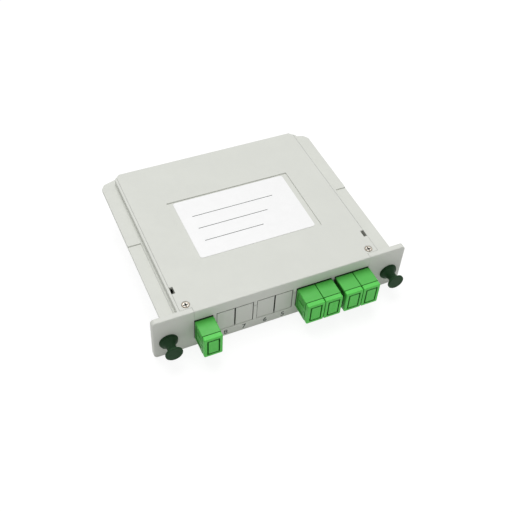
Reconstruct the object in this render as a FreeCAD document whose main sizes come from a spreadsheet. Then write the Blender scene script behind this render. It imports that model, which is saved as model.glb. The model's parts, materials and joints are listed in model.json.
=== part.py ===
"""Plug-in fibre splitter module: a flat moulded case whose panel has one input port and eight output ports.

Frame: X along the front panel, Y to the rear, Z up. The origin is on the flat underside, midway along the
panel, in the plane of the panel's back face, where the module seats against its rack. Millimetres.
"""
import FreeCAD, Part
import Sketcher
import math
import os

# Driving sizes: name, value, meaning
DRIVING = (
    ("panel_thick", 2.8, "front panel thickness"),
    ("panel_corner", 2.0, "radius of the panel's corners"),
    ("panel_edge", 0.5, "softened front edges of the panel"),
    ("ear_wide", 12.8, "panel beside the case, for the latches"),
    ("case_shoulder", 6.95, "case beside the outermost ports"),
    ("case_deep", 97.2, "case behind the panel"),
    ("case_wall", 2.0, "side and rear wall"),
    ("case_corner", 3.0, "chamfer of the rear corners"),
    ("inner_corner", 1.5, "chamfer of the rear corners inside"),
    ("floor_thick", 1.5, "floor of the case"),
    ("cover_thick", 1.5, "plate of the cover"),
    ("rim_wide", 1.2, "wall left visible beside the cover"),
    ("seam_gap", 0.1, "gap round the cover"),
    ("rail_reach", 7.5, "side rail outside the wall"),
    ("rail_drop", 3.0, "rail's upper face below the panel's top"),
    ("rail_thick", 1.8, "rail thickness"),
    ("rail_step", 0.5, "relief on the front half of the rail"),
    ("rail_step_at", 48.9, "end of the relief behind the panel"),
    ("rail_strip", 1.0, "full-height strip beside the wall"),
    ("rail_nose", 4.5, "rounded length of the rail's rear end"),
    ("rail_bevel", 1.8, "where that rounding bends"),
    ("port_wide", 9.3, "one port cut-out"),
    ("port_tall", 13.2, "height of the cut-outs"),
    ("port_sill", 5.6, "panel below the cut-outs"),
    ("port_lintel", 6.2, "panel above the cut-outs"),
    ("port_rib", 1.7, "rib between port groups"),
    ("stub_long", 3.1, "cover stub between port groups"),
    ("stub_gap", 0.3, "gap between that stub and the rib below it"),
    ("fit_gap", 0.1, "clearance of fitted plastic pieces"),
    ("root", 0.2, "how deep a rib or post is rooted in its wall"),
    ("over", 1.0, "how far a cut runs past the surface"),
    ("flange_thick", 2.0, "flange captured behind the panel"),
    ("flange_room", 0.7, "space above that flange"),
    ("flange_play", 0.2, "play behind the flange"),
    ("stop_thick", 1.4, "rib behind the flanges"),
    ("stop_gap", 0.4, "space between that rib and the adapters"),
    ("adapter_gap", 0.25, "gap above and below an adapter in its cut-out"),
    ("adapter_edge", 0.25, "chamfer along the adapter"),
    ("adapter_front", 9.5, "adapter ahead of the panel"),
    ("adapter_rear", 15.7, "adapter behind the seat plane"),
    ("clip_groove", 0.6, "width of the clip grooves above and below the adapter, at the panel"),
    ("clip_deep", 0.5, "depth of those grooves"),
    ("side_field", 0.3, "depth of the field on the adapter's side"),
    ("side_margin", 1.5, "adapter wall left round that field"),
    ("socket_side", 0.75, "adapter wall beside the socket"),
    ("socket_tall", 9.4, "socket height"),
    ("socket_wall", 1.6, "middle wall between the sockets"),
    ("sleeve_bore", 1.25, "radius of the sleeve's bore"),
    ("sleeve_wall", 0.35, "wall of the split sleeve"),
    ("sleeve_long", 11.4, "length of the split sleeve"),
    ("sleeve_slot", 0.4, "slot along the sleeve"),
    ("sleeve_play", 0.05, "clearance of the sleeve in its holder"),
    ("holder_wall", 0.75, "wall of the sleeve holder"),
    ("arm_long", 7.6, "latching arm in the socket"),
    ("arm_gap", 0.5, "space between the holder and the arm"),
    ("arm_thick", 0.7, "thickness of the arm"),
    ("arm_wide", 3.2, "width of the arm"),
    ("key_wide", 2.3, "key slot in the socket's wall"),
    ("key_long", 7.0, "length of the key slot"),
    ("cap_head", 2.4, "head of the dust cap"),
    ("cap_gap", 0.3, "gap between that head and the adapter"),
    ("cap_inset", 0.05, "cap head inside the adapter's outline"),
    ("cap_corner", 0.6, "radius of the head's corners"),
    ("cap_edge", 0.4, "radius round the cap's face"),
    ("cap_rim", 1.4, "rim of the cap's face"),
    ("cap_moat", 0.7, "groove inside the rim"),
    ("cap_moat_deep", 1.7, "depth of that groove"),
    ("cap_plug", 7.5, "plug of the cap"),
    ("cap_wall", 0.6, "wall of the plug"),
    ("cap_play", 0.15, "play of the plug in the socket"),
    ("blank_side", 0.35, "gap at each side of a blank"),
    ("blank_top", 0.8, "gap above a blank"),
    ("blank_back", 0.3, "blank behind the panel's front"),
    ("blank_wall", 1.2, "wall of a blank"),
    ("screw_inset", 5.0, "cover screw inside the case's side"),
    ("screw_y", 2.7, "cover screw behind the seat plane"),
    ("screw_sink", 0.15, "screw head below the cover's face"),
    ("screw_head", 1.75, "radius of the screw head"),
    ("screw_lip", 0.15, "upright edge of the head"),
    ("screw_shank", 1.1, "radius of the screw's shank"),
    ("screw_long", 10.0, "length of the screw"),
    ("cross_wide", 0.6, "width of the cross recess"),
    ("cross_reach", 1.2, "cross recess from the screw's axis"),
    ("cross_deep", 0.8, "depth of the cross recess"),
    ("boss_radius", 1.85, "radius of the screw boss"),
    ("boss_web", 1.2, "web that joins the boss to the side wall"),
    ("label_wide", 61.0, "label, left to right"),
    ("label_deep", 40.0, "label, front to rear"),
    ("label_thick", 0.15, "label thickness"),
    ("label_corner", 1.5, "label corner radius"),
    ("label_y", 46.7, "label centre behind the seat plane"),
    ("recess_margin", 2.9, "label recess round the label, sideways"),
    ("recess_end", 0.9, "label recess round the label, lengthways"),
    ("recess_deep", 0.5, "depth of the label recess"),
    ("snap_y", 12.65, "snap window behind the seat plane"),
    ("snap_wide", 4.1, "length of the snap window"),
    ("snap_deep", 1.8, "width of the snap window"),
    ("snap_notch", 5.0, "depth of the notch in the wall beside the snap window"),
    ("finger_thick", 1.2, "thickness of the snap finger"),
    ("finger_long", 12.0, "snap finger below the cover's plate"),
    ("finger_play", 0.2, "play of the finger"),
    ("tooth_tall", 1.2, "height of the snap teeth"),
    ("tooth_reach", 0.8, "snap tooth inside the wall"),
    ("hook_x", 30.0, "rear hook from the middle"),
    ("hook_wide", 8.0, "width of a rear hook"),
    ("hook_thick", 1.2, "thickness of a rear hook"),
    ("latch_inset", 7.2, "latch from the panel's end"),
    ("latch_z", 9.9, "height of the latches"),
    ("grommet_flange", 4.55, "radius of the grommet's flange"),
    ("grommet_flange_thick", 0.6, "thickness of that flange"),
    ("grommet_edge", 0.2, "softened edge of that flange"),
    ("grommet_barrel", 2.5, "radius of the grommet's barrel"),
    ("grommet_long", 8.0, "barrel behind the flange"),
    ("grommet_lead", 1.0, "tapered end of the barrel"),
    ("grommet_taper", 0.5, "how much that end narrows"),
    ("grommet_slit", 0.6, "slits between the grommet's legs"),
    ("plunger_shaft", 1.4, "radius of the plunger's shaft"),
    ("plunger_play", 0.05, "running clearance of the shaft"),
    ("plunger_point", 0.6, "taper of the shaft's end"),
    ("knob_radius", 4.2, "radius of the pull knob"),
    ("knob_long", 7.5, "length of the pull knob"),
    ("knob_edge", 0.25, "softened edge of the knob"),
    ("knob_face", 0.6, "thickness of the knob's front disc"),
    ("knob_foot", 0.3, "thickness of the knob's rear disc"),
    ("knob_waist", 2.2, "radius of the knob's waist"),
    ("plug_side", 0.15, "play of the internal connector in its socket"),
    ("plug_tall", 9.0, "internal connector height"),
    ("plug_front", 0.5, "gap between the connector and the middle wall"),
    ("plug_long", 26.0, "length of the connector housing"),
    ("plug_edge", 0.6, "chamfer at the connector's rear"),
    ("plug_cavity", 8.6, "depth of the connector's nose cavity"),
    ("plug_wall", 0.55, "wall of the connector's nose"),
    ("plug_key", 0.5, "height of the connector's key"),
    ("plug_key_end", 4.0, "connector behind its key"),
    ("plug_key_side", 0.3, "play beside that key"),
    ("grip_from_end", 3.0, "last finger groove from the connector's rear"),
    ("grip_pitch", 1.6, "spacing of the finger grooves"),
    ("grip_wide", 0.8, "width of a finger groove"),
    ("grip_deep", 0.4, "depth of a finger groove"),
    ("grip_margin", 1.0, "plain part above and below the grooves"),
    ("ferrule_long", 14.0, "length of the ferrule"),
    ("ferrule_gap", 0.02, "clearance of the ferrule in the sleeve"),
    ("ferrule_edge", 0.3, "chamfer of the ferrule's tip"),
    ("boot_long", 18.0, "length of the strain relief"),
    ("boot_wide", 2.6, "radius of its thick end"),
    ("boot_thin", 1.1, "radius of its thin end"),
    ("boot_ring", 3.6, "spacing of its rings"),
    ("boot_notch", 1.1, "width of the notch before a ring"),
    ("boot_notch_deep", 0.35, "depth of that notch"),
    ("fibre_radius", 0.45, "radius of a buffered fibre"),
    ("fibre_pitch", 1.1, "spacing of the fibres side by side"),
    ("fibre_gap", 0.05, "clearance round a fibre in its bore"),
    ("fibre_room", 0.95, "space between the outermost fibre and the wall"),
    ("loop_radius", 14.5, "radius of the innermost fibre loop"),
    ("lift", 3.3, "rise of the input fibre over the others"),
    ("lift_radius", 15.0, "radius where that rise starts"),
    ("lift_start", 1.0, "straight fibre between the strain relief and that rise"),
    ("module_end", 1.0, "module's end short of the bobbin's middle"),
    ("module_deep", 7.0, "splitter chip module, front to rear"),
    ("module_tall", 4.0, "module height"),
    ("module_edge", 0.3, "chamfer of the module's edges"),
    ("post_tall", 3.0, "posts that hold the module"),
    ("post_thick", 1.2, "thickness of those posts"),
    ("post_wide", 3.0, "width of those posts"),
    ("post_x", 20.0, "posts from the middle"),
    ("bobbin_back", 24.6, "fibre bobbin's middle ahead of the case's rear"),
    ("bobbin_gap", 2.5, "bobbin inside the innermost loop"),
    ("bobbin_wall", 1.2, "wall of a bobbin"),
    ("bobbin_tall", 7.0, "height of a bobbin"),
)

# Sizes that follow from the driving ones: name, formula
DERIVED = (
    ("comb_half", "(9 * port_wide + 4 * port_rib) / 2"),
    ("case_half", "comb_half + case_shoulder"),
    ("panel_half", "case_half + ear_wide"),
    ("panel_tall", "port_sill + port_tall + port_lintel"),
    ("inner_half", "case_half - case_wall"),
    ("inner_deep", "case_deep - case_wall"),
    ("ledge_z", "panel_tall - cover_thick"),
    ("cover_half", "case_half - rim_wide"),
    ("rail_half", "case_half + rail_reach"),
    ("rail_top", "panel_tall - rail_drop"),
    ("rail_low", "rail_top - rail_thick"),
    ("rail_root", "case_half - case_wall / 2"),
    ("port_low", "port_sill"),
    ("port_middle", "port_sill + port_tall / 2"),
    ("port_high", "port_sill + port_tall"),
    ("stub_low", "port_high - stub_long"),
    ("flange_low", "floor_thick + fit_gap - port_middle"),
    ("flange_high", "ledge_z - flange_room - port_middle"),
    ("stop_y", "flange_thick + flange_play"),
    ("adapter_half_wide", "port_wide / 2 - fit_gap"),
    ("adapter_half_tall", "port_tall / 2 - adapter_gap"),
    ("adapter_mouth", "panel_thick + adapter_front"),
    ("adapter_middle", "(adapter_rear - adapter_mouth) / 2"),
    ("socket_half", "adapter_half_wide - socket_side"),
    ("sleeve_outer", "sleeve_bore + sleeve_wall"),
    ("holder_bore", "sleeve_outer + sleeve_play"),
    ("holder_radius", "holder_bore + holder_wall"),
    ("holder_long", "sleeve_long + 2 * fit_gap"),
    ("arm_low", "holder_radius + arm_gap"),
    ("arm_high", "arm_low + arm_thick"),
    ("cap_half_wide", "adapter_half_wide - cap_inset"),
    ("cap_half_tall", "adapter_half_tall - cap_inset"),
    ("cap_plug_wide", "socket_half - cap_play"),
    ("cap_plug_tall", "socket_tall / 2 - cap_play"),
    ("blank_half", "port_wide / 2 - blank_side"),
    ("screw_x", "case_half - screw_inset"),
    ("snap_inner", "cover_half - snap_deep"),
    ("snap_low", "ledge_z - finger_long"),
    ("hang_half", "comb_half - 3 * fit_gap"),
    ("latch_x", "panel_half - latch_inset"),
    ("latch_bore", "grommet_barrel + fit_gap"),
    ("grommet_front", "panel_thick + grommet_flange_thick"),
    ("grommet_tail", "grommet_long - grommet_front"),
    ("shaft_bore", "plunger_shaft + plunger_play"),
    ("plug_half", "socket_half - plug_side"),
    ("plug_start", "adapter_middle + socket_wall / 2 + plug_front"),
    ("plug_end", "plug_start + plug_long"),
    ("ferrule_end", "adapter_middle + ferrule_long"),
    ("boot_end", "plug_end + boot_long"),
    ("loop_outer", "loop_radius + 3 * fibre_pitch + fibre_radius"),
    ("bobbin_x", "inner_half - fibre_room - loop_outer"),
    ("bobbin_y", "case_deep - bobbin_back"),
    ("bobbin_radius", "loop_radius - bobbin_gap"),
    ("module_half", "bobbin_x - module_end"),
    ("module_y", "bobbin_y - loop_radius - 1.5 * fibre_pitch"),
    ("module_z", "floor_thick + module_tall / 2"),
)

OUTPUTS = (1, 2, 3, 4)
BLANKS = (5, 6, 7, 8)
GROUPS = 5
GRIP_GROOVES = 3
BOOT_RINGS = 3
SMALL = 0.001  # lengths and volumes below this count as nothing

doc = FreeCAD.newDocument("fibre_splitter_module")
sheet = doc.addObject("Spreadsheet::Sheet", "Sizes")
nodes = {}


def fill_sheet():
    row = 1
    for alias, amount, meaning in DRIVING:
        sheet.set(f"A{row}", alias)
        sheet.set(f"B{row}", str(amount))
        sheet.set(f"C{row}", meaning)
        sheet.setAlias(f"B{row}", alias)
        row += 1
    for alias, formula in DERIVED:
        sheet.set(f"A{row}", alias)
        sheet.set(f"B{row}", "=" + formula)
        sheet.setAlias(f"B{row}", alias)
        row += 1
    doc.recompute()


def expression(text):
    """Write the sheet's name before each alias, as a bound property needs it."""
    words = []
    word = ""
    for letter in text + " ":
        if letter.isalnum() or letter in "_.":
            word += letter
            continue
        known = word and (word[0].isalpha()) and word != "sqrt"
        words.append("Sizes." + word if known else word)
        words.append(letter)
        word = ""
    return "".join(words).strip()


def value(text):
    return float(sheet.evalExpression(expression(text)))


def bind(thing, prop, text):
    thing.setExpression(prop, expression(text))


# Sketches and features shared by the sub-parts

def new_body(node, across="0", back="0", up="0"):
    """A body with its node name and its place in the module."""
    body = doc.addObject("PartDesign::Body", node)
    body.Label = node
    bind(body, "Placement.Base.x", across)
    bind(body, "Placement.Base.y", back)
    bind(body, "Placement.Base.z", up)
    nodes[node] = body
    return body


def new_sketch(body, name, plane, level):
    """A sketch parallel to one of the body's own planes, at a level along the plane's world axis."""
    sketch = body.newObject("Sketcher::SketchObject", name)
    support = next(item for item in body.Origin.OriginFeatures if item.Role == plane + "_Plane")
    sketch.AttachmentSupport = (support, [""])
    sketch.MapMode = "FlatFace"
    bind(sketch, "AttachmentOffset.Base.z", f"-({level})" if plane == "XZ" else level)
    return sketch


def pin(sketch, geometry, end, across, up):
    """Hold a point of the sketch at two coordinates taken from the sheet."""
    for kind, axis, text in (("DistanceX", -2, across), ("DistanceY", -1, up)):
        if text == "0":
            sketch.addConstraint(Sketcher.Constraint("PointOnObject", geometry, end, axis))
            continue
        held = Sketcher.Constraint(kind, -1, 1, geometry, end, value(text))
        index = sketch.addConstraint(held)
        bind(sketch, f"Constraints[{index}]", text)


def draw_outline(sketch, points):
    """A closed outline of straight lines through points given as pairs of formulas."""
    places = [FreeCAD.Vector(value(across), value(up), 0) for across, up in points]
    first = sketch.GeometryCount
    count = len(points)
    lines = [Part.LineSegment(places[i], places[(i + 1) % count]) for i in range(count)]
    sketch.addGeometry(lines, False)
    for i, (across, up) in enumerate(points):
        sketch.addConstraint(Sketcher.Constraint("Coincident", first + i, 2, first + (i + 1) % count, 1))
    for i, (across, up) in enumerate(points):
        pin(sketch, first + i, 1, across, up)


def draw_circle(sketch, across, up, radius):
    centre = FreeCAD.Vector(value(across), value(up), 0)
    index = sketch.addGeometry(Part.Circle(centre, FreeCAD.Vector(0, 0, 1), value(radius)), False)
    pin(sketch, index, 3, across, up)
    held = sketch.addConstraint(Sketcher.Constraint("Radius", index, value(radius)))
    bind(sketch, f"Constraints[{held}]", radius)


def rectangle(left, right, low, high):
    return ((left, low), (right, low), (right, high), (left, high))


def centred(half_across, half_up):
    return rectangle(f"-({half_across})", half_across, f"-({half_up})", half_up)


def add(body, name, plane, level, length, *outlines):
    """Pad outlines from a level towards the positive axis."""
    sketch = new_sketch(body, name + "_sketch", plane, level)
    for points in outlines:
        draw_outline(sketch, points)
    return finish_pad(body, name, plane, length, sketch)


def add_round(body, name, plane, level, length, across, up, radius, bore=None):
    sketch = new_sketch(body, name + "_sketch", plane, level)
    draw_circle(sketch, across, up, radius)
    if bore:
        draw_circle(sketch, across, up, bore)
    return finish_pad(body, name, plane, length, sketch)


def finish_pad(body, name, plane, length, sketch):
    pad = body.newObject("PartDesign::Pad", name)
    pad.Profile = sketch
    bind(pad, "Length", length)
    pad.Reversed = plane == "XZ"
    return pad


def cut(body, name, plane, level, length, *outlines):
    """Pocket outlines from a level towards the positive axis."""
    sketch = new_sketch(body, name + "_sketch", plane, level)
    for points in outlines:
        draw_outline(sketch, points)
    return finish_pocket(body, name, plane, length, sketch)


def cut_round(body, name, plane, level, length, across, up, radius):
    sketch = new_sketch(body, name + "_sketch", plane, level)
    draw_circle(sketch, across, up, radius)
    return finish_pocket(body, name, plane, length, sketch)


def finish_pocket(body, name, plane, length, sketch):
    pocket = body.newObject("PartDesign::Pocket", name)
    pocket.Profile = sketch
    bind(pocket, "Length", length)
    pocket.Reversed = plane != "XZ"
    return pocket


def turn(body, name, plane, points, kind="PartDesign::Revolution"):
    """Turn an outline round the sketch's upright axis."""
    sketch = new_sketch(body, name + "_sketch", plane, "0")
    draw_outline(sketch, points)
    turned = body.newObject(kind, name)
    turned.Profile = sketch
    turned.ReferenceAxis = (sketch, ["V_Axis"])
    turned.Angle = 360
    return turned


def mirror(body, name, plane, features):
    mirrored = body.newObject("PartDesign::Mirrored", name)
    mirrored.Originals = features
    support = next(item for item in body.Origin.OriginFeatures if item.Role == plane + "_Plane")
    mirrored.MirrorPlane = (support, [""])
    body.Tip = mirrored
    return mirrored


def dress(body, name, kind, size, wanted):
    """Fillet or chamfer the edges of the body so far that a test picks."""
    doc.recompute()
    base = body.Tip
    picked = [f"Edge{i}" for i, edge in enumerate(base.Shape.Edges, 1) if wanted(edge)]
    dressed = body.newObject(kind, name)
    dressed.Base = (base, picked)
    bind(dressed, "Radius" if kind.endswith("Fillet") else "Size", size)
    return dressed


def near(a, b):
    return abs(a - b) < SMALL


def runs_along(edge, axis):
    """Whether a straight edge runs along the axis with this index."""
    spread = (edge.BoundBox.XLength, edge.BoundBox.YLength, edge.BoundBox.ZLength)
    return spread[axis] > SMALL and all(length < SMALL for i, length in enumerate(spread) if i != axis)


def lies_at(edge, level):
    """Whether an edge lies in the plane across Y at this level."""
    return near(edge.BoundBox.YMin, level) and near(edge.BoundBox.YMax, level)


# Places of the ports

def group_left(group):
    """Left edge of a port group: one port, then four pairs."""
    before = 0 if group == 0 else 2 * group - 1
    return f"-comb_half + {before} * port_wide + {group} * port_rib"


def group_right(group):
    return f"-comb_half + {2 * group + 1} * port_wide + {group} * port_rib"


def port_x(port):
    """Middle of a port: 0 is the input at the left, 8 to 1 follow to the right."""
    place = 0 if port == 0 else 9 - port
    group = (place + 1) // 2
    return f"-comb_half + {place + 0.5} * port_wide + {group} * port_rib"


def port_name(port):
    return "input" if port == 0 else f"output_{port}"


# Housing base

def port_comb():
    """Outline of the panel's cut-out: open at the top, with a rib between port groups."""
    points = [("-comb_half", "panel_tall + over"), ("-comb_half", "port_low")]
    for group in range(GROUPS - 1):
        points += [(group_right(group), "port_low"), (group_right(group), "stub_low")]
        points += [(group_left(group + 1), "stub_low"), (group_left(group + 1), "port_low")]
    points += [("comb_half", "port_low"), ("comb_half", "panel_tall + over")]
    return points


def case_outline(half, deep, corner):
    return (
        (f"-({half})", "0"),
        (half, "0"),
        (half, f"{deep} - {corner}"),
        (f"{half} - {corner}", deep),
        (f"-({half} - {corner})", deep),
        (f"-({half})", f"{deep} - {corner}"),
    )


def cover_outline(half):
    """The cover's plate: it lies inside the side rims and ends flush at the rear."""
    slope_y = f"case_deep - case_corner + case_half - {half}"
    return [
        (half, "seam_gap"),
        (half, slope_y),
        ("case_half - case_corner", "case_deep"),
        ("-(case_half - case_corner)", "case_deep"),
        (f"-({half})", slope_y),
        (f"-({half})", "seam_gap"),
    ]


def housing_base():
    body = new_body("housing_base")
    add(body, "panel", "XZ", "-panel_thick", "panel_thick",
        rectangle("-panel_half", "panel_half", "0", "panel_tall"))
    dress(body, "panel_corners", "PartDesign::Fillet", "panel_corner", lambda edge: runs_along(edge, 1))
    front = -value("panel_thick")
    dress(body, "panel_soft_edge", "PartDesign::Fillet", "panel_edge", lambda edge: lies_at(edge, front))
    add(body, "case_block", "XY", "0", "panel_tall", case_outline("case_half", "case_deep", "case_corner"))
    add(body, "rail", "XY", "rail_low", "rail_thick", (
        ("rail_root", "0"),
        ("rail_half", "0"),
        ("rail_half", "case_deep - rail_nose"),
        ("rail_half - rail_bevel", "case_deep - rail_bevel"),
        ("case_half", "case_deep"),
        ("case_half - case_corner", "case_deep"),
        ("rail_root", "case_deep - case_corner"),
    ))
    rail = body.Tip
    cut(body, "rail_relief", "XY", "rail_top - rail_step", "rail_step + over",
        rectangle("case_half + rail_strip", "rail_half + over", "0", "rail_step_at"))
    relief = body.Tip
    mirror(body, "rail_left", "YZ", [rail, relief])
    cut(body, "tray", "XY", "floor_thick", "panel_tall",
        case_outline("inner_half", "inner_deep", "inner_corner"))
    cut(body, "cover_ledge", "XY", "ledge_z", "cover_thick + over",
        [(across, "0" if back == "seam_gap" else back) for across, back in cover_outline("cover_half")])
    cut(body, "port_comb", "XZ", "-panel_thick - over", "panel_thick + over", port_comb())
    add(body, "flange_stop", "XY", "floor_thick", "port_low - stop_gap - floor_thick",
        rectangle("-comb_half", "comb_half", "stop_y", "stop_y + stop_thick"))
    screw_boss(body)
    snap_tooth(body)
    latch_hole(body)
    hook_slots(body)
    module_posts(body)
    fibre_bobbins(body)


def screw_boss(body):
    add_round(body, "boss", "XY", "floor_thick", "ledge_z - floor_thick", "screw_x", "screw_y", "boss_radius")
    boss = body.Tip
    add(body, "boss_web", "XY", "floor_thick", "ledge_z - floor_thick",
        rectangle("screw_x + boss_radius / 2", "inner_half + root",
                  "screw_y - boss_web / 2", "screw_y + boss_web / 2"))
    web = body.Tip
    cut_round(body, "boss_hole", "XY", "ledge_z - screw_long", "screw_long", "screw_x", "screw_y",
              "screw_shank + fibre_gap")
    hole = body.Tip
    mirror(body, "boss_left", "YZ", [boss, web, hole])


def snap_tooth(body):
    """Tooth on the side wall that the cover's snap finger hooks under, and the notch beside its window."""
    front = "snap_y - snap_wide / 2"
    rear = "snap_y + snap_wide / 2"
    add(body, "tooth", "XY", "snap_low + tooth_tall + fit_gap", "tooth_tall",
        rectangle("inner_half - tooth_reach", "inner_half + root", front, rear))
    tooth = body.Tip
    cut(body, "snap_notch", "XY", "ledge_z - snap_notch", "snap_notch",
        rectangle("inner_half - over", "cover_half", front, rear))
    mirror(body, "tooth_left", "YZ", [tooth, body.Tip])


def latch_hole(body):
    cut_round(body, "latch_hole", "XZ", "-panel_thick - over", "panel_thick + 2 * over",
              "latch_x", "latch_z", "latch_bore")
    mirror(body, "latch_hole_left", "YZ", [body.Tip])


def hook_slots(body):
    """Slots inside the rear wall for the cover's hooks."""
    cut(body, "hook_slot", "XY", "ledge_z - 2 * hook_thick - fit_gap", "hook_thick + 2 * fit_gap",
        rectangle("hook_x - hook_wide / 2 - fit_gap", "hook_x + hook_wide / 2 + fit_gap",
                  "inner_deep - root", "inner_deep + hook_thick"))
    mirror(body, "hook_slot_left", "YZ", [body.Tip])


def module_posts(body):
    """Posts on the floor at both sides of the splitter module."""
    edge = "(module_deep / 2 + fit_gap)"
    add(body, "posts", "XY", "floor_thick", "post_tall",
        rectangle("post_x - post_wide / 2", "post_x + post_wide / 2",
                  f"module_y + {edge}", f"module_y + {edge} + post_thick"),
        rectangle("post_x - post_wide / 2", "post_x + post_wide / 2",
                  f"module_y - {edge} - post_thick", f"module_y - {edge}"))
    mirror(body, "posts_left", "YZ", [body.Tip])


def fibre_bobbins(body):
    """Round walls that the fibres are wound about."""
    add_round(body, "bobbin", "XY", "floor_thick", "bobbin_tall", "bobbin_x", "bobbin_y",
              "bobbin_radius", "bobbin_radius - bobbin_wall")
    mirror(body, "bobbin_left", "YZ", [body.Tip])


# Top cover

def strip_comb():
    """Front strip of the cover, with stubs that close the ribs between port groups."""
    side = "comb_half - seam_gap"
    points = [(f"-({side})", "panel_tall"), (f"-({side})", "port_high")]
    for group in range(GROUPS - 1):
        left = f"{group_right(group)} + seam_gap / 2"
        right = f"{group_left(group + 1)} - seam_gap / 2"
        points += [(left, "port_high"), (left, "stub_low + stub_gap")]
        points += [(right, "stub_low + stub_gap"), (right, "port_high")]
    points += [(side, "port_high"), (side, "panel_tall")]
    return points


def top_cover():
    body = new_body("top_cover")
    add(body, "plate", "XY", "ledge_z", "cover_thick", cover_outline("cover_half - seam_gap"))
    add(body, "front_strip", "XZ", "-panel_thick", "panel_thick", strip_comb())
    add(body, "strip_root", "XY", "ledge_z", "cover_thick",
        rectangle("-(comb_half - seam_gap)", "comb_half - seam_gap", "-panel_thick / 2", "2 * seam_gap"))
    front = -value("panel_thick")
    top = value("panel_tall")
    dress(body, "strip_soft_edge", "PartDesign::Fillet", "panel_edge",
          lambda edge: runs_along(edge, 0) and lies_at(edge, front) and near(edge.BoundBox.ZMin, top))
    add(body, "flange_stop", "XY", "port_high + stop_gap", "ledge_z - port_high - stop_gap",
        rectangle("-hang_half", "hang_half", "stop_y", "stop_y + stop_thick"))
    cut(body, "label_recess", "XY", "panel_tall - recess_deep", "recess_deep + over",
        rectangle("-label_wide / 2 - recess_margin", "label_wide / 2 + recess_margin",
                  "label_y - label_deep / 2 - recess_end", "label_y + label_deep / 2 + recess_end"))
    cut_round(body, "screw_hole", "XY", "ledge_z - over", "cover_thick + 2 * over", "screw_x", "screw_y",
              "screw_shank + fit_gap")
    mirror(body, "screw_hole_left", "YZ", [body.Tip])
    hole_wide = 2 * value("screw_shank + fit_gap")
    dress(body, "countersink", "PartDesign::Chamfer", "screw_head - screw_shank + screw_sink + screw_lip",
          lambda edge: near(edge.BoundBox.ZMin, top) and near(edge.BoundBox.XLength, hole_wide))
    snap_fingers(body)
    rear_hooks(body)


def snap_fingers(body):
    """Window at the cover's edge, and the finger with its catch inside it."""
    cut(body, "snap_window", "XY", "ledge_z - over", "cover_thick + 2 * over",
        rectangle("snap_inner", "cover_half + over", "snap_y - snap_wide / 2", "snap_y + snap_wide / 2"))
    window = body.Tip
    across = "snap_wide / 2 - finger_play"
    add(body, "finger", "XY", "snap_low", "finger_long",
        rectangle("snap_inner - finger_thick", "snap_inner", f"snap_y - ({across})", f"snap_y + {across}"))
    finger = body.Tip
    add(body, "catch", "XY", "snap_low", "tooth_tall",
        rectangle("snap_inner - finger_thick / 2", "inner_half - finger_play",
                  f"snap_y - ({across})", f"snap_y + {across}"))
    mirror(body, "snap_left", "YZ", [window, finger, body.Tip])


def rear_hooks(body):
    """Hooks under the cover's rear edge."""
    left = "hook_x - hook_wide / 2"
    right = "hook_x + hook_wide / 2"
    low = "ledge_z - 2 * hook_thick"
    add(body, "hook_root", "XY", low, "2 * hook_thick",
        rectangle(left, right, "inner_deep - fit_gap - hook_thick", "inner_deep - fit_gap"))
    root = body.Tip
    add(body, "hook_lip", "XY", low, "hook_thick",
        rectangle(left, right, "inner_deep - fit_gap - hook_thick / 2", "inner_deep + hook_thick - fit_gap"))
    mirror(body, "hook_left", "YZ", [root, body.Tip])


def label():
    body = new_body("label", "0", "label_y", "panel_tall - recess_deep")
    add(body, "sheet", "XY", "0", "label_thick", centred("label_wide / 2", "label_deep / 2"))
    dress(body, "corners", "PartDesign::Fillet", "label_corner", lambda edge: runs_along(edge, 2))


# Cover screws

def cover_screw(name, across):
    """Countersunk screw with a cross recess, its axis upright."""
    body = new_body(name, across, "screw_y", "panel_tall - screw_sink")
    del nodes[name]
    turn(body, "shape", "XZ", (
        ("0", "0"),
        ("screw_head", "0"),
        ("screw_head", "-screw_lip"),
        ("screw_shank", "-screw_lip - screw_head + screw_shank"),
        ("screw_shank", "-screw_long + screw_shank"),
        ("0", "-screw_long"),
    ))
    cut(body, "cross", "XY", "-cross_deep", "cross_deep + over",
        centred("cross_wide / 2", "cross_reach"))
    cut(body, "cross_over", "XY", "-cross_deep", "cross_deep + over",
        centred("cross_reach", "cross_wide / 2"))
    return body


def cover_screws():
    group = doc.addObject("Part::Compound", "cover_screws")
    group.Label = "cover_screws"
    group.Links = [cover_screw("screw_left", "-screw_x"), cover_screw("screw_right", "screw_x")]
    nodes["cover_screws"] = group


# Pieces in the ports

def port_blank(port):
    """Plate that closes an unused port, hollow behind, with its flange in the panel's groove."""
    body = new_body(f"port_blank_{port}", port_x(port), "0", "port_middle")
    front = "panel_thick - blank_back"
    add(body, "plate", "XZ", f"-({front})", f"{front} + flange_thick",
        rectangle("-blank_half", "blank_half", "-port_tall / 2", "port_tall / 2 - blank_top"))
    add(body, "flange", "XZ", "0", "flange_thick",
        rectangle("-blank_half", "blank_half", "flange_low", "flange_high"))
    cut(body, "hollow", "XZ", f"-({front} - blank_wall)", "flange_thick + panel_thick",
        rectangle("-(blank_half - blank_wall)", "blank_half - blank_wall",
                  "-(port_tall / 2 - blank_wall)", "port_tall / 2 - blank_top - blank_wall"))


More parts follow.
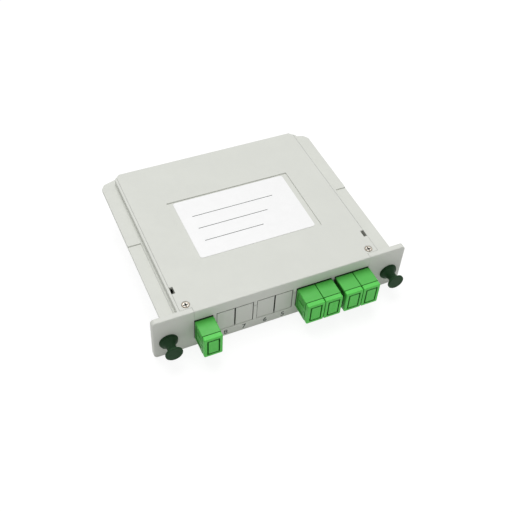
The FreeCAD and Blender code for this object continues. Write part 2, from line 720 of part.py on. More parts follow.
def adapter(port):
    """Adapter body with a socket at each end and the sleeve holder on its middle wall."""
    body = new_body("adapter_" + port_name(port), port_x(port), "0", "port_middle")
    add(body, "block", "XZ", "-adapter_mouth", "adapter_mouth + adapter_rear",
        centred("adapter_half_wide", "adapter_half_tall"))
    dress(body, "long_edges", "PartDesign::Chamfer", "adapter_edge", lambda edge: runs_along(edge, 1))
    cut(body, "side_field", "XZ", "-adapter_mouth + side_margin", "adapter_front - 2 * side_margin",
        rectangle("adapter_half_wide - side_field", "adapter_half_wide + over",
                  "-(adapter_half_tall - side_margin)", "adapter_half_tall - side_margin"))
    mirror(body, "side_field_other", "YZ", [body.Tip])
    cut(body, "clip_groove", "XZ", "-panel_thick - clip_groove", "clip_groove",
        rectangle("-adapter_half_wide - over", "adapter_half_wide + over",
                  "adapter_half_tall - clip_deep", "adapter_half_tall + over"))
    mirror(body, "clip_groove_below", "XY", [body.Tip])
    add(body, "flange", "XZ", "0", "flange_thick",
        rectangle("-adapter_half_wide", "adapter_half_wide", "flange_low", "flange_high"))
    socket = centred("socket_half", "socket_tall / 2")
    depth = "(adapter_mouth + adapter_rear - socket_wall) / 2"
    cut(body, "front_socket", "XZ", "-adapter_mouth", depth, socket)
    cut(body, "rear_socket", "XZ", "adapter_middle + socket_wall / 2", depth, socket)
    add_round(body, "sleeve_holder", "XZ", "adapter_middle - holder_long / 2", "holder_long", "0", "0",
              "holder_radius")
    add(body, "arm", "XZ", "adapter_middle - socket_wall / 2 - arm_long", "2 * arm_long + socket_wall",
        rectangle("-arm_wide / 2", "arm_wide / 2", "arm_low", "arm_high"))
    mirror(body, "arm_below", "XY", [body.Tip])
    cut_round(body, "sleeve_bore", "XZ", "adapter_middle - holder_long", "2 * holder_long", "0", "0",
              "holder_bore")
    key_slot = rectangle("-adapter_half_wide - over", "-socket_half + root", "-key_wide / 2", "key_wide / 2")
    cut(body, "front_key", "XZ", "-adapter_mouth", "key_long", key_slot)
    cut(body, "rear_key", "XZ", "adapter_rear - key_long", "key_long", key_slot)


def alignment_sleeve(port):
    """Split sleeve that lines up the two ferrules."""
    body = new_body("sleeve_" + port_name(port), port_x(port), "adapter_middle", "port_middle")
    add_round(body, "tube", "XZ", "-sleeve_long / 2", "sleeve_long", "0", "0", "sleeve_outer", "sleeve_bore")
    cut(body, "slot", "XZ", "-sleeve_long / 2", "sleeve_long",
        rectangle("-sleeve_slot / 2", "sleeve_slot / 2", "0", "sleeve_outer + over"))


def dust_cap(port):
    """Cap with a hollow plug that clears the sleeve holder, and a grooved face."""
    body = new_body("dust_cap_" + port_name(port), port_x(port), "-adapter_mouth", "port_middle")
    face = "-(cap_head + cap_gap)"
    add(body, "head", "XZ", face, "cap_head", centred("cap_half_wide", "cap_half_tall"))
    dress(body, "head_corners", "PartDesign::Fillet", "cap_corner", lambda edge: runs_along(edge, 1))
    front = value(face)
    dress(body, "face_edge", "PartDesign::Fillet", "cap_edge", lambda edge: lies_at(edge, front))
    moat = "cap_rim + cap_moat"
    cut(body, "moat", "XZ", face, "cap_moat_deep",
        centred("cap_half_wide - cap_rim", "cap_half_tall - cap_rim"),
        centred(f"cap_half_wide - ({moat})", f"cap_half_tall - ({moat})"))
    add(body, "plug", "XZ", "-cap_gap", "cap_gap + cap_plug", centred("cap_plug_wide", "cap_plug_tall"),
        centred("cap_plug_wide - cap_wall", "cap_plug_tall - cap_wall"))
    add(body, "key", "XZ", "0", "key_long - 2 * fit_gap",
        rectangle("-adapter_half_wide + fit_gap", "-cap_plug_wide + cap_wall / 2",
                  "-key_wide / 2 + cap_play", "key_wide / 2 - cap_play"))


# Latches

def latch_grommet(side, across):
    """Split grommet: a flange on the panel and four legs through it."""
    body = new_body(f"latch_grommet_{side}", across, "0", "latch_z")
    turn(body, "shape", "XY", (
        ("shaft_bore", "-grommet_front"),
        ("grommet_flange - grommet_edge", "-grommet_front"),
        ("grommet_flange", "-grommet_front + grommet_edge"),
        ("grommet_flange", "-panel_thick"),
        ("grommet_barrel", "-panel_thick"),
        ("grommet_barrel", "grommet_tail - grommet_lead"),
        ("grommet_barrel - grommet_taper", "grommet_tail"),
        ("shaft_bore", "grommet_tail"),
    ))
    slit = "grommet_slit / 2"
    cut(body, "slit", "XZ", "-panel_thick / 2", "grommet_long + panel_thick",
        centred(slit, "grommet_flange"))
    cut(body, "slit_across", "XZ", "-panel_thick / 2", "grommet_long + panel_thick",
        centred("grommet_flange", slit))


def latch_plunger(side, across):
    """Push-pull plunger: a waisted knob and a shaft that spreads the grommet's legs."""
    body = new_body(f"latch_plunger_{side}", across, "-grommet_front", "latch_z")
    turn(body, "shape", "XY", (
        ("0", "-knob_long"),
        ("knob_radius - knob_edge", "-knob_long"),
        ("knob_radius", "-knob_long + knob_edge"),
        ("knob_radius", "0"),
        ("plunger_shaft", "0"),
        ("plunger_shaft", "grommet_long - plunger_point"),
        ("plunger_shaft - plunger_point", "grommet_long"),
        ("0", "grommet_long"),
    ))
    sketch = new_sketch(body, "waist_sketch", "XY", "0")
    curve = "(knob_long - knob_face - knob_foot) / 2"
    draw_circle(sketch, f"knob_waist + {curve}", f"-knob_foot - {curve}", curve)
    waist = body.newObject("PartDesign::Groove", "waist")
    waist.Profile = sketch
    waist.ReferenceAxis = (sketch, ["V_Axis"])
    waist.Angle = 360


# Fibre path inside the case

def connector(port):
    """Connector housing plugged into the rear socket, with a nose that clears the sleeve holder."""
    body = new_body("connector_" + port_name(port), port_x(port), "0", "port_middle")
    add(body, "housing", "XZ", "plug_start", "plug_long", centred("plug_half", "plug_tall / 2"))
    rear = value("plug_end")
    dress(body, "rear_edge", "PartDesign::Chamfer", "plug_edge", lambda edge: lies_at(edge, rear))
    cut(body, "nose", "XZ", "plug_start", "plug_cavity",
        centred("plug_half - plug_wall", "plug_tall / 2 - plug_wall"))
    cut_round(body, "ferrule_seat", "XZ", "plug_start", "ferrule_end - plug_start", "0", "0",
              "sleeve_bore")
    cut_round(body, "fibre_bore", "XZ", "plug_start", "plug_long", "0", "0", "fibre_radius + fibre_gap")
    add(body, "key", "XZ", "plug_start + plug_cavity", "plug_long - plug_cavity - plug_key_end",
        rectangle("-plug_half - plug_key", "-plug_half + root",
                  "-key_wide / 2 + plug_key_side", "key_wide / 2 - plug_key_side"))
    grip = add_grip(body)
    mirror(body, "grip_other_side", "YZ", [grip])


def add_grip(body):
    """Shallow finger grooves on the side of the housing, outside the adapter."""
    outlines = []
    for step in range(GRIP_GROOVES):
        back = f"plug_end - grip_from_end - {step} * grip_pitch"
        outlines.append(rectangle("plug_half - grip_deep", "plug_half + over", f"{back} - grip_wide", back))
    return cut(body, "grip", "XY", "-plug_tall / 2 + grip_margin", "plug_tall - 2 * grip_margin", *outlines)


def ferrule(port):
    body = new_body("ferrule_" + port_name(port), port_x(port), "adapter_middle + fit_gap", "port_middle")
    radius = "sleeve_bore - ferrule_gap"
    turn(body, "shape", "XY", (
        ("0", "0"),
        (f"{radius} - ferrule_edge", "0"),
        (radius, "ferrule_edge"),
        (radius, "ferrule_long - fit_gap"),
        ("0", "ferrule_long - fit_gap"),
    ))


def boot(port):
    """Ringed strain relief behind the connector."""
    body = new_body("boot_" + port_name(port), port_x(port), "plug_end", "port_middle")
    bore = "fibre_radius + fibre_gap"
    points = [(bore, "0"), ("boot_wide", "0"), ("boot_wide", "boot_ring")]
    for ring in range(1, BOOT_RINGS + 1):
        wide = f"boot_wide - {ring} / {BOOT_RINGS + 1} * (boot_wide - boot_thin)"
        notch = f"{wide} - boot_notch_deep"
        start = f"{ring} * boot_ring"
        points += [(notch, start), (notch, f"{start} + boot_notch")]
        points += [(wide, f"{start} + boot_notch"), (wide, f"{start} + boot_ring")]
    points += [("boot_thin", "boot_long"), (bore, "boot_long")]
    turn(body, "shape", "XY", points)


def splitter_module():
    body = new_body("splitter_module", "0", "module_y", "module_z")
    add(body, "block", "XY", "-module_tall / 2", "module_tall", centred("module_half", "module_deep / 2"))
    dress(body, "edges", "PartDesign::Chamfer", "module_edge", lambda edge: runs_along(edge, 0))


def rounded_path(points, radii):
    """Straight runs joined by tangent arcs of the given radii."""
    edges = []
    start = points[0]
    for corner, after, radius in zip(points[1:-1], points[2:], radii):
        back = (start - corner).normalize()
        ahead = (after - corner).normalize()
        half_turn = (math.pi - back.getAngle(ahead)) / 2
        reach = radius * math.tan(half_turn)
        enter = corner + back * reach
        leave = corner + ahead * reach
        towards = (back + ahead).normalize()
        middle = corner + towards * (radius / math.cos(half_turn) - radius)
        if start.distanceToPoint(enter) > SMALL:
            edges.append(Part.LineSegment(start, enter).toShape())
        edges.append(Part.Arc(enter, middle, leave).toShape())
        start = leave
    edges.append(Part.LineSegment(start, points[-1]).toShape())
    return Part.Wire(edges)


def fibre(port, points, radii):
    """Buffered fibre from the back of its ferrule to the splitter module."""
    name = "fibre_" + port_name(port)
    path = rounded_path(points, radii)
    section = Part.Wire(Part.Circle(points[0], FreeCAD.Vector(0, 1, 0), value("fibre_radius")).toShape())
    tube = path.makePipeShell([section], True, False)
    expected = math.pi * value("fibre_radius") ** 2 * path.Length
    print(f"{name}: length {path.Length:.0f}, radii {[round(r, 1) for r in radii]}, "
          f"volume {tube.Volume / expected:.3f} of section times length")
    holder = doc.addObject("Part::Feature", name)
    holder.Shape = tube
    holder.Label = name
    nodes[name] = holder


def output_fibre(port):
    """Back along the rear wall, round the left bobbin and into the module's left end."""
    layer = value("fibre_pitch") * (len(OUTPUTS) - port)
    loop = value("loop_radius") + layer
    across = value(port_x(port))
    rear = value("bobbin_y") + loop
    front = value("bobbin_y") - loop
    side = -value("bobbin_x") - loop
    level = value("port_middle")
    low = value("module_z")
    points = (
        FreeCAD.Vector(across, value("ferrule_end"), level),
        FreeCAD.Vector(across, rear, level),
        FreeCAD.Vector(side, rear, low),
        FreeCAD.Vector(side, front, low),
        FreeCAD.Vector(-value("module_half"), front, low),
    )
    fibre(port, points, (loop, loop, loop))


def input_fibre():
    """Over the output fibres, round the right bobbin and into the module's right end."""
    across = value(port_x(0))
    level = value("port_middle")
    high = level + value("lift")
    low = value("module_z")
    front = value("module_y")
    loop = value("bobbin_y") - front
    rear = value("bobbin_y") + loop
    side = value("bobbin_x") + loop
    points = (
        FreeCAD.Vector(across, value("ferrule_end"), level),
        FreeCAD.Vector(across, value("boot_end + lift_start"), level),
        FreeCAD.Vector(across, rear, high),
        FreeCAD.Vector(side, rear, high),
        FreeCAD.Vector(side, front, low),
        FreeCAD.Vector(value("module_half"), front, low),
    )
    fibre(0, points, (value("lift_radius"), loop, loop, loop))


# Checks and files

def check_document():
    """Stop if any object failed, a shape is unsound or a cut removed nothing."""
    for item in doc.Objects:
        if "Invalid" in item.State or "Error" in item.State:
            raise RuntimeError(f"{item.Name} failed: {item.State}")
        if item.TypeId in ("PartDesign::Pocket", "PartDesign::Groove"):
            if item.BaseFeature.Shape.Volume - item.Shape.Volume < SMALL:
                raise RuntimeError(f"{item.Name} cuts nothing")
    for name, item in nodes.items():
        if item.Shape.isNull() or not item.Shape.isValid():
            raise RuntimeError(f"{name} has no sound shape")


def write_parts():
    os.makedirs("parts", exist_ok=True)
    for name, item in nodes.items():
        item.Shape.exportStep(f"parts/{name}.step")
        print(f"{name}: {len(item.Shape.Solids)} solid, {item.Shape.Volume:.1f} cubic mm")


def main():
    fill_sheet()
    housing_base()
    top_cover()
    label()
    cover_screws()
    for port in BLANKS:
        port_blank(port)
    for port in (0, *OUTPUTS):
        adapter(port)
        alignment_sleeve(port)
        dust_cap(port)
        connector(port)
        ferrule(port)
        boot(port)
    for side, across in (("left", "-latch_x"), ("right", "latch_x")):
        latch_grommet(side, across)
        latch_plunger(side, across)
    splitter_module()
    for port in OUTPUTS:
        output_fibre(port)
    input_fibre()
    doc.recompute()
    check_document()
    write_parts()


main()
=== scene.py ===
"""Looks of the plug-in fibre splitter module, in metres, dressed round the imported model."""
import bpy
import json
import math
from mathutils import Matrix, Vector

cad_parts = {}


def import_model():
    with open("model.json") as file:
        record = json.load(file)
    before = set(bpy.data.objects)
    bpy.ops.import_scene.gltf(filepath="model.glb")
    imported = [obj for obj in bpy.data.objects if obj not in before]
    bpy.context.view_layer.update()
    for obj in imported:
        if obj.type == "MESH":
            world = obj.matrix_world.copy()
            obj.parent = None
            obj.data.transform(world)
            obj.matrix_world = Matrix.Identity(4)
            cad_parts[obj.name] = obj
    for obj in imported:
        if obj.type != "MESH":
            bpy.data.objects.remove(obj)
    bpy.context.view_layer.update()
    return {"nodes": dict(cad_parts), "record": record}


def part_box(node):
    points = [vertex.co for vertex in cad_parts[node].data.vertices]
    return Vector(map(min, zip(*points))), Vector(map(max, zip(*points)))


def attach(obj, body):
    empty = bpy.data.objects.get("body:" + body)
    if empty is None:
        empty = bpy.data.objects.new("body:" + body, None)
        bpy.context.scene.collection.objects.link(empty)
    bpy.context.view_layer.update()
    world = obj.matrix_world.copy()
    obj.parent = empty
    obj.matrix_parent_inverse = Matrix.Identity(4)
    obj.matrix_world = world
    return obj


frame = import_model()

MM = 0.001

# Camera, worked out from the photograph
FOCAL_PIXELS = 775.7
IMAGE_PIXELS = 512
SENSOR_MM = 36.0
CAMERA_PLACE = Vector((-118.9, -206.3, 296.4)) * MM
CAMERA_AZIMUTH = math.radians(26.75)
CAMERA_TILT = math.radians(47.19)
CAMERA_ROLL = math.radians(3.88)
CAMERA_NEAR = 10 * MM

# Colours, linear
HOUSING = (0.667, 0.68, 0.632)
LABEL_WHITE = (0.89, 0.89, 0.89)
GREEN = (0.065, 0.45, 0.055)
CAP_GREEN = (0.088, 0.58, 0.076)
LATCH_BLACK = (0.018, 0.054, 0.022)
INK = (0.03, 0.045, 0.035)
PLATED = (0.50, 0.48, 0.44)
RIM_BROWN = (0.16, 0.12, 0.08)
# Painted shade down in the screws' cross recess
RECESS_SHADE = (0.012, 0.020, 0.014)
STEEL = (0.55, 0.56, 0.58)
CERAMIC = (0.86, 0.86, 0.83)
JACKET = (0.85, 0.80, 0.62)
BOOT_GREEN = (0.04, 0.22, 0.05)
# Painted shade: in the panel's cut-outs, between neighbours, and in the caps' grooves
GAP_SHADE_GREY = (0.03, 0.055, 0.035)
GAP_SHADE_GREEN = (0.008, 0.035, 0.008)
GROOVE_SHADE_GREEN = (0.042, 0.28, 0.038)
FLOOR_DARKER = (0.17, 0.17, 0.17)
FLOOR_PALER = (0.19, 0.19, 0.19)
FLOOR_BOUNCE = (0.80, 0.80, 0.80)
WHITE = (1.0, 1.0, 1.0)

# Painted shade in gaps: in the panel's cut-outs, and where a neighbour stands close
PANEL_BACK = 0.0
GAP_FADE = 0.05 * MM
CLIP_GROOVE = 0.55 * MM
NEIGHBOUR_REACH = 3.0 * MM
OPEN_SHARE = 0.75
CLOSED_SHARE = 0.35

# Screw heads: the brownish rim, as shares of the radius, and how deep down the painted shade in the recess
# turns dark
RIM_START = 0.74
RIM_END = 0.88
RECESS_START = 0.05 * MM
RECESS_END = 0.25 * MM

# Write-on rules, as shares of the label's sides, and their section
RULE_INSET = 0.10
RULE_REACHES = (0.72, 0.61, 0.51)
RULE_START = 0.30
RULE_PITCH = 0.22
RULE_THICK = 0.35 * MM
RULE_HEIGHT = 0.02 * MM

# Port numbers
NUMBER_SIZE = 4.2 * MM
NUMBER_WEIGHT = 0.05 * MM
NUMBER_HEIGHT = 0.03 * MM
NUMBER_FOOT = 1.5 * MM

# Lamps: the direction that the light comes from, its strength, and its spread in degrees
KEY_FROM = (0.04, 0.42, 1.0)
KEY_STRENGTH = 1.94
KEY_SPREAD = 42.0
FILL_FROM = (0.1, -1.0, 0.45)
FILL_STRENGTH = 0.30
FILL_SPREAD = 60.0

# Sky and floor: how strongly they light the object, and how bright they are where they are seen
SKY_LIGHT = 0.38
SKY_SEEN = 1.0
FLOOR_LIGHT = 0.0
FLOOR_SEEN = 0.88
FLOOR_REACH = 3.0

# Most of a noise texture's values lie between these two
NOISE_LOW = 0.35
NOISE_HIGH = 0.65

# Places of the colour sockets on a mix node
MIX_FIRST = 6
MIX_SECOND = 7
MIX_RESULT = 2


# Steps that the materials share

def opaque(colour, factor=1.0):
    """A colour with its alpha, made lighter or darker by a factor."""
    return (colour[0] * factor, colour[1] * factor, colour[2] * factor, 1.0)


def new_material(name):
    material = bpy.data.materials.new(name)
    material.use_nodes = True
    material.node_tree.nodes.new("ShaderNodeTexCoord")
    return material


def inner_nodes(material):
    """A material's node tree, its shader and the coordinates on the object."""
    tree = material.node_tree
    shader = next(node for node in tree.nodes if node.type == "BSDF_PRINCIPLED")
    place = next(node for node in tree.nodes if node.type == "TEX_COORD").outputs["Object"]
    return tree, shader, place


def feed(tree, given, socket):
    """Give a socket another node's result, or a plain number or colour."""
    if isinstance(given, bpy.types.NodeSocket):
        tree.links.new(given, socket)
    else:
        socket.default_value = given


def noise(tree, place, scale, detail=4.0, roughness=0.5):
    texture = tree.nodes.new("ShaderNodeTexNoise")
    texture.inputs["Scale"].default_value = scale
    texture.inputs["Detail"].default_value = detail
    texture.inputs["Roughness"].default_value = roughness
    tree.links.new(place, texture.inputs["Vector"])
    return texture.outputs["Fac"]


def remap(tree, source, start, end, low=0.0, high=1.0):
    """Go from low to high while the source goes from start to end."""
    ranged = tree.nodes.new("ShaderNodeMapRange")
    ranged.inputs["From Min"].default_value = start
    ranged.inputs["From Max"].default_value = end
    ranged.inputs["To Min"].default_value = low
    ranged.inputs["To Max"].default_value = high
    tree.links.new(source, ranged.inputs["Value"])
    return ranged.outputs["Result"]


def spread(tree, source, low, high):
    """Map a noise, which stays near its middle, onto a range."""
    return remap(tree, source, NOISE_LOW, NOISE_HIGH, low, high)


def calculate(tree, operation, first, second=0.0):
    """One math step on plain numbers or other steps' results."""
    step = tree.nodes.new("ShaderNodeMath")
    step.operation = operation
    feed(tree, first, step.inputs[0])
    feed(tree, second, step.inputs[1])
    return step.outputs[0]


def coordinates(tree, place):
    """The X, Y and Z of a place, each by itself."""
    parts = tree.nodes.new("ShaderNodeSeparateXYZ")
    tree.links.new(place, parts.inputs[0])
    return parts.outputs["X"], parts.outputs["Y"], parts.outputs["Z"]


def mix_colours(tree, factor, first, second):
    """The first colour where the factor is 0, and the second where it is 1."""
    mix = tree.nodes.new("ShaderNodeMix")
    mix.data_type = "RGBA"
    tree.links.new(factor, mix.inputs["Factor"])
    feed(tree, first, mix.inputs[MIX_FIRST])
    feed(tree, second, mix.inputs[MIX_SECOND])
    return mix.outputs[MIX_RESULT]


def lay_over(tree, socket, factor, colour):
    """Lay a colour over what already feeds a colour socket, where the factor is 1."""
    under = socket.links[0].from_socket
    tree.links.new(mix_colours(tree, factor, under, opaque(colour)), socket)


def soften(tree, shader, height, relief, edge):
    """Fine surface relief on top of rounded edges."""
    rounded = tree.nodes.new("ShaderNodeBevel")
    rounded.samples = 6
    rounded.inputs["Radius"].default_value = edge
    bump = tree.nodes.new("ShaderNodeBump")
    bump.inputs["Strength"].default_value = 1.0
    bump.inputs["Distance"].default_value = relief
    tree.links.new(height, bump.inputs["Height"])
    tree.links.new(rounded.outputs["Normal"], bump.inputs["Normal"])
    tree.links.new(bump.outputs["Normal"], shader.inputs["Normal"])


def moulded(name, colour, roughness, grain, relief, edge, mottle, specular=0.5):
    """Moulded plastic: faint flow mottling, a fine spark-eroded grain and rounded edges."""
    material = new_material(name)
    tree, shader, place = inner_nodes(material)
    cloudy = spread(tree, noise(tree, place, 60.0), 0.0, 1.0)
    tint = mix_colours(tree, cloudy, opaque(colour, 1 - mottle), opaque(colour, 1 + mottle))
    tree.links.new(tint, shader.inputs["Base Color"])
    rough = spread(tree, noise(tree, place, 350.0), roughness - 0.05, roughness + 0.05)
    tree.links.new(rough, shader.inputs["Roughness"])
    shader.inputs["Specular IOR Level"].default_value = specular
    soften(tree, shader, noise(tree, place, grain, detail=3.0), relief, edge)
    return material


def metal(name, colour, roughness, drawn):
    """Plated or drawn metal with fine lines, packed closer across the drawing direction, and worn patches."""
    material = new_material(name)
    tree, shader, place = inner_nodes(material)
    patches = spread(tree, noise(tree, place, 500.0), 0.0, 1.0)
    tint = mix_colours(tree, patches, opaque(colour, 0.86), opaque(colour, 1.05))
    tree.links.new(tint, shader.inputs["Base Color"])
    shader.inputs["Metallic"].default_value = 1.0
    stretched = tree.nodes.new("ShaderNodeMapping")
    stretched.inputs["Scale"].default_value = (drawn, 1.0, 1.0)
    tree.links.new(place, stretched.inputs["Vector"])
    lines = noise(tree, stretched.outputs["Vector"], 900.0, detail=2.0)
    rough = spread(tree, lines, roughness - 0.06, roughness + 0.08)
    tree.links.new(rough, shader.inputs["Roughness"])
    soften(tree, shader, lines, relief=0.002 * MM, edge=0.08 * MM)
    return material


def darken_gap(material, front, rear, colour):
    """Painted shade on the sides of a piece between two levels along Y, where it stands in the panel's
    cut-out.
    """
    tree, shader, place = inner_nodes(material)
    _, along, _ = coordinates(tree, place)
    behind = remap(tree, along, front, front + GAP_FADE)
    ahead = remap(tree, along, rear + GAP_FADE, rear)
    lay_over(tree, shader.inputs["Base Color"], calculate(tree, "MULTIPLY", behind, ahead), colour)


def darken_narrow(material, colour):
    """Painted shade, from ambient occlusion, where a neighbour stands close, as between two adapters."""
    tree, shader, _ = inner_nodes(material)
    openness = tree.nodes.new("ShaderNodeAmbientOcclusion")
    openness.samples = 8
    openness.inputs["Distance"].default_value = NEIGHBOUR_REACH
    closed = remap(tree, openness.outputs["AO"], OPEN_SHARE, CLOSED_SHARE)
    lay_over(tree, shader.inputs["Base Color"], closed, colour)


# Materials

def housing_plastic(name="housing_plastic"):
    return moulded(name, HOUSING, roughness=0.52, grain=2600.0, relief=0.012 * MM,
                   edge=0.14 * MM, mottle=0.012, specular=0.4)


def blank_plastic():
    """Housing plastic with painted shade on its sides in the panel's cut-outs."""
    material = housing_plastic("blank_plastic")
    blank_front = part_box("port_blank_8")[0].y
    darken_gap(material, blank_front + GAP_FADE, PANEL_BACK, GAP_SHADE_GREY)
    return material


def adapter_plastic():
    """Semi-gloss green, with painted shade at the clip grooves and between neighbours."""
    material = moulded("adapter_plastic", GREEN, roughness=0.42, grain=1800.0, relief=0.008 * MM,
                       edge=0.16 * MM, mottle=0.05, specular=0.35)
    panel_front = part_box("housing_base")[0].y
    darken_gap(material, panel_front - CLIP_GROOVE, PANEL_BACK, GAP_SHADE_GREEN)
    darken_narrow(material, GAP_SHADE_GREEN)
    return material


def cap_plastic():
    material = moulded("cap_plastic", CAP_GREEN, roughness=0.48, grain=1500.0, relief=0.012 * MM,
                       edge=0.2 * MM, mottle=0.06, specular=0.35)
    # Painted shade in the face's groove and where a neighbour stands close
    darken_narrow(material, GROOVE_SHADE_GREEN)
    return material


def latch_nylon():
    return moulded("latch_nylon", LATCH_BLACK, roughness=0.58, grain=1200.0, relief=0.010 * MM,
                   edge=0.2 * MM, mottle=0.10, specular=0.12)


def ceramic():
    return moulded("ceramic", CERAMIC, roughness=0.15, grain=900.0, relief=0.001 * MM,
                   edge=0.05 * MM, mottle=0.01)


def boot_rubber():
    return moulded("boot_rubber", BOOT_GREEN, roughness=0.6, grain=1500.0, relief=0.010 * MM,
                   edge=0.1 * MM, mottle=0.06)


def fibre_jacket():
    return moulded("fibre_jacket", JACKET, roughness=0.45, grain=2500.0, relief=0.003 * MM,
                   edge=0.03 * MM, mottle=0.03)


def ink():
    return moulded("ink", INK, roughness=0.55, grain=2500.0, relief=0.002 * MM,
                   edge=0.02 * MM, mottle=0.08)


def module_steel():
    return metal("module_steel", STEEL, roughness=0.30, drawn=12.0)


def screw_metal():
    """Plated screw: brownish towards the rim, and painted shade down in its cross recess."""
    material = metal("plated_screw", PLATED, roughness=0.50, drawn=1.0)
    tree, shader, place = inner_nodes(material)
    across, along, up = coordinates(tree, place)
    low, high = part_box("cover_screws")
    radius = (high.y - low.y) / 2
    aside = calculate(tree, "SUBTRACT", calculate(tree, "ABSOLUTE", across), high.x - radius)
    ahead = calculate(tree, "SUBTRACT", along, (low.y + high.y) / 2)
    aside_squared = calculate(tree, "MULTIPLY", aside, aside)
    ahead_squared = calculate(tree, "MULTIPLY", ahead, ahead)
    from_axis = calculate(tree, "SQRT", calculate(tree, "ADD", aside_squared, ahead_squared))
    depth = calculate(tree, "SUBTRACT", high.z, up)
    rim = remap(tree, from_axis, radius * RIM_START, radius * RIM_END)
    lay_over(tree, shader.inputs["Base Color"], rim, RIM_BROWN)
    # Painted shade, darker further down in the cross recess
    recess = remap(tree, depth, RECESS_START, RECESS_END)
    lay_over(tree, shader.inputs["Base Color"], recess, RECESS_SHADE)
    return material


def label_film():
    """Coated label film: faint fibre cloud and a soft sheen."""
    material = new_material("label_film")
    tree, shader, place = inner_nodes(material)
    cloud = spread(tree, noise(tree, place, 220.0, detail=6.0, roughness=0.7), 0.0, 1.0)
    tint = mix_colours(tree, cloud, opaque(LABEL_WHITE, 0.985), opaque(LABEL_WHITE, 1.01))
    tree.links.new(tint, shader.inputs["Base Color"])
    rough = spread(tree, noise(tree, place, 900.0), 0.34, 0.44)
    tree.links.new(rough, shader.inputs["Roughness"])
    soften(tree, shader, noise(tree, place, 1500.0), relief=0.002 * MM, edge=0.05 * MM)
    return material


def all_materials():
    """Each material by the record's slot, and those of the blanks and the printed marks."""
    return {
        "housing": housing_plastic(),
        "blank": blank_plastic(),
        "label": label_film(),
        "screw": screw_metal(),
        "green": adapter_plastic(),
        "cap_green": cap_plastic(),
        "latch_black": latch_nylon(),
        "zirconia": ceramic(),
        "boot": boot_rubber(),
        "module_metal": module_steel(),
        "fibre_jacket": fibre_jacket(),
        "ink": ink(),
    }


def dress_cad(materials):
    for part in frame["record"]["subparts"]:
        kind = "blank" if part["node"].startswith("port_blank") else part["material_slot"]
        for holder in frame["nodes"][part["node"]].material_slots:
            holder.material = materials[kind]


# Printed marks

def mesh_object(name, vertices, faces, material):
    mesh = bpy.data.meshes.new(name)
    mesh.from_pydata(vertices, [], faces)
    mesh.materials.append(material)
    mesh.update()
    thing = bpy.data.objects.new(name, mesh)
    bpy.context.scene.collection.objects.link(thing)
    return thing


def thin_box(name, low, high, material):
    """A closed box between two corners."""
    vertices = [(x, y, z) for z in (low.z, high.z) for y in (low.y, high.y) for x in (low.x, high.x)]
    faces = [(0, 2, 3, 1), (4, 5, 7, 6), (0, 1, 5, 4), (1, 3, 7, 5), (3, 2, 6, 7), (2, 0, 4, 6)]
    return mesh_object(name, vertices, faces, material)


def port_number(text, node, material):
    """A number on the panel's face below a port, upright and readable from the front."""
    low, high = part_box(node)
    panel_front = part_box("housing_base")[0].y
    curve = bpy.data.curves.new("digit_" + text, "FONT")
    curve.body = text
    curve.size = NUMBER_SIZE
    curve.offset = NUMBER_WEIGHT
    curve.align_x = "CENTER"
    curve.extrude = NUMBER_HEIGHT
    curve.materials.append(material)
    thing = bpy.data.objects.new("port_number_" + text, curve)
    bpy.context.scene.collection.objects.link(thing)
    upright = Matrix.Rotation(math.radians(90), 4, "X")
    place = Vector(((low.x + high.x) / 2, panel_front, NUMBER_FOOT))
    thing.matrix_world = Matrix.Translation(place) @ upright
    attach(thing, "housing")


def port_numbers(material):
    for port in (5, 6, 7, 8):
        port_number(str(port), f"port_blank_{port}", material)
    for port in (1, 2, 3, 4):
        port_number(str(port), f"adapter_output_{port}", material)


def label_rules(material):
    """Plain write-on rules on the bare label, each shorter than the one above it."""
    low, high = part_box("label")
    wide = high.x - low.x
    left = low.x + RULE_INSET * wide
    for row, reach in enumerate(RULE_REACHES):
        back = high.y - (RULE_START + RULE_PITCH * row) * (high.y - low.y)
        start = Vector((left, back - RULE_THICK, high.z - RULE_HEIGHT))
        end = Vector((left + reach * wide, back, high.z + RULE_HEIGHT))
        rule = thin_box(f"label_rule_{row + 1}", start, end, material)
        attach(rule, "housing")


# Stage, light and camera

def background_rays(tree):
    """One where a ray shows the background: straight from the camera, reflected or let through."""
    path = tree.nodes.new("ShaderNodeLightPath").outputs
    reflected_or_through = calculate(tree, "MAXIMUM", path["Is Glossy Ray"], path["Is Transmission Ray"])
    return calculate(tree, "MAXIMUM", path["Is Camera Ray"], reflected_or_through)


def lift_background(tree, light, seen, socket):
    """Give a strength socket one value as a light, and another where the background is seen."""
    tree.links.new(remap(tree, background_rays(tree), 0.0, 1.0, light, seen), socket)


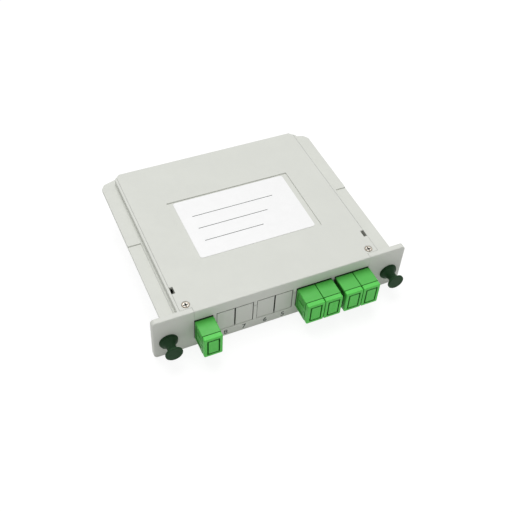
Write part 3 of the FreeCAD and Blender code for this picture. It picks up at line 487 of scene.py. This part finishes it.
def floor():
    material = new_material("pale_floor")
    tree, shader, place = inner_nodes(material)
    cloud = spread(tree, noise(tree, place, 3.0), 0.0, 1.0)
    seen = mix_colours(tree, cloud, opaque(FLOOR_DARKER), opaque(FLOOR_PALER))
    # Grey where it is seen, under its own glow, and white for the light that it throws on the object
    tint = mix_colours(tree, background_rays(tree), opaque(FLOOR_BOUNCE), seen)
    tree.links.new(tint, shader.inputs["Base Color"])
    shader.inputs["Roughness"].default_value = 0.9
    shader.inputs["Specular IOR Level"].default_value = 0.0
    shader.inputs["Emission Color"].default_value = opaque(WHITE)
    lift_background(tree, FLOOR_LIGHT, FLOOR_SEEN, shader.inputs["Emission Strength"])
    reach = FLOOR_REACH
    corners = [(-reach, -reach, 0), (reach, -reach, 0), (reach, reach, 0), (-reach, reach, 0)]
    sheet = mesh_object("floor", corners, [(0, 1, 2, 3)], material)


def world():
    sky = bpy.data.worlds.new("studio")
    bpy.context.scene.world = sky
    sky.use_nodes = True
    background = sky.node_tree.nodes["Background"]
    background.inputs["Color"].default_value = opaque(WHITE)
    lift_background(sky.node_tree, SKY_LIGHT, SKY_SEEN, background.inputs["Strength"])


def sun(name, source, strength, spread_degrees):
    light = bpy.data.lights.new(name, "SUN")
    light.energy = strength
    light.angle = math.radians(spread_degrees)
    lamp = bpy.data.objects.new(name, light)
    bpy.context.scene.collection.objects.link(lamp)
    lamp.rotation_euler = Vector(source).to_track_quat("Z", "Y").to_euler()


def lights():
    sun("key", KEY_FROM, KEY_STRENGTH, KEY_SPREAD)
    sun("front_fill", FILL_FROM, FILL_STRENGTH, FILL_SPREAD)


def camera():
    forward = Vector((
        math.sin(CAMERA_AZIMUTH) * math.cos(CAMERA_TILT),
        math.cos(CAMERA_AZIMUTH) * math.cos(CAMERA_TILT),
        -math.sin(CAMERA_TILT),
    ))
    level = Vector((math.cos(CAMERA_AZIMUTH), -math.sin(CAMERA_AZIMUTH), 0))
    upright = level.cross(forward)
    right = level * math.cos(CAMERA_ROLL) + upright * math.sin(CAMERA_ROLL)
    up = upright * math.cos(CAMERA_ROLL) - level * math.sin(CAMERA_ROLL)
    data = bpy.data.cameras.new("photo_camera")
    data.sensor_width = SENSOR_MM
    data.lens = SENSOR_MM * FOCAL_PIXELS / IMAGE_PIXELS
    data.clip_start = CAMERA_NEAR
    thing = bpy.data.objects.new("photo_camera", data)
    bpy.context.scene.collection.objects.link(thing)
    turn = Matrix((right, up, -forward)).transposed().to_4x4()
    thing.matrix_world = Matrix.Translation(CAMERA_PLACE) @ turn
    bpy.context.scene.camera = thing


bpy.context.scene.view_settings.view_transform = "Standard"
camera()
world()
lights()
floor()
materials = all_materials()
dress_cad(materials)
port_numbers(materials["ink"])
label_rules(materials["ink"])
